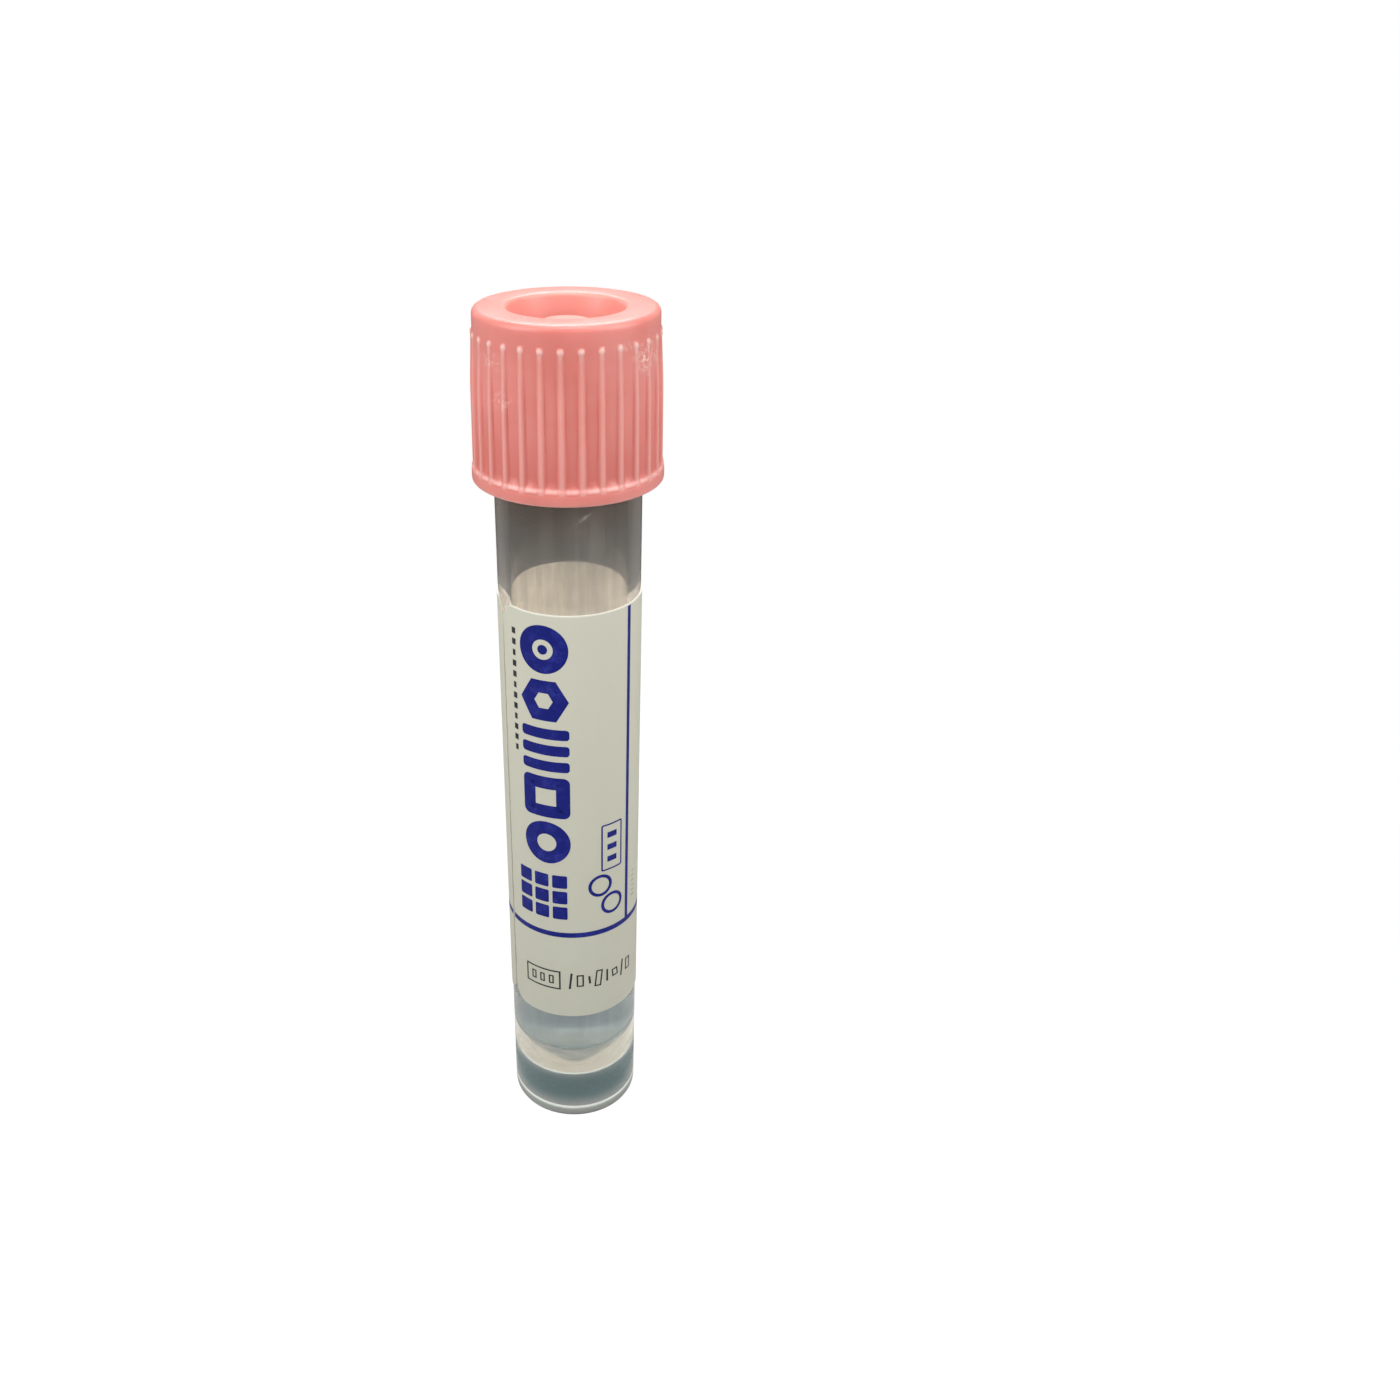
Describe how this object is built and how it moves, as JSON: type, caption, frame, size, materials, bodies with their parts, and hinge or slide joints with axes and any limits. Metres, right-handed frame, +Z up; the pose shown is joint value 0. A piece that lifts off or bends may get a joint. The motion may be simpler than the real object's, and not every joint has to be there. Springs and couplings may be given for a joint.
{
  "type": "specimen swab tube",
  "caption": "Self-standing specimen tube with a conical floor, a wrap-round label, a millilitre of liquid and a ribbed screw cap with a swab socket.",
  "frame": {"origin": "centre of the foot ring, on the surface the tube stands on", "axes": "+Z up along the tube's axis, -Y towards the printed face of the label, +X to the right of that face"},
  "size_m": [0.0156, 0.0156, 0.0791],
  "materials": {
    "clear_wall": "translucent moulded polypropylene",
    "liquid": "clear watery liquid",
    "label_paper": "satin coated paper",
    "seal_rubber": "soft silicone",
    "cap_plastic": "satin moulded polypropylene"
  },
  "bodies": {
    "tube_body": {"tube": "clear_wall", "transport_medium": "liquid", "label": "label_paper"},
    "seal_body": {"seal_ring": "seal_rubber"},
    "cap_body": {"screw_cap": "cap_plastic"}
  },
  "joints": [
    {"name": "cap_rise", "type": "slide", "parent": "tube_body", "child": "seal_body", "axis": [0, 0, 1], "range_m": [0, 0.015]},
    {"name": "cap_turn", "type": "hinge", "parent": "seal_body", "child": "cap_body", "pos_m": [0, 0, 0.07], "axis": [0, 0, 1], "range_deg": [0, 1800]}
  ],
  "couplings": [
    {"joint": "cap_turn", "follows": "cap_rise", "rad_per_m": 2094.4}
  ]
}
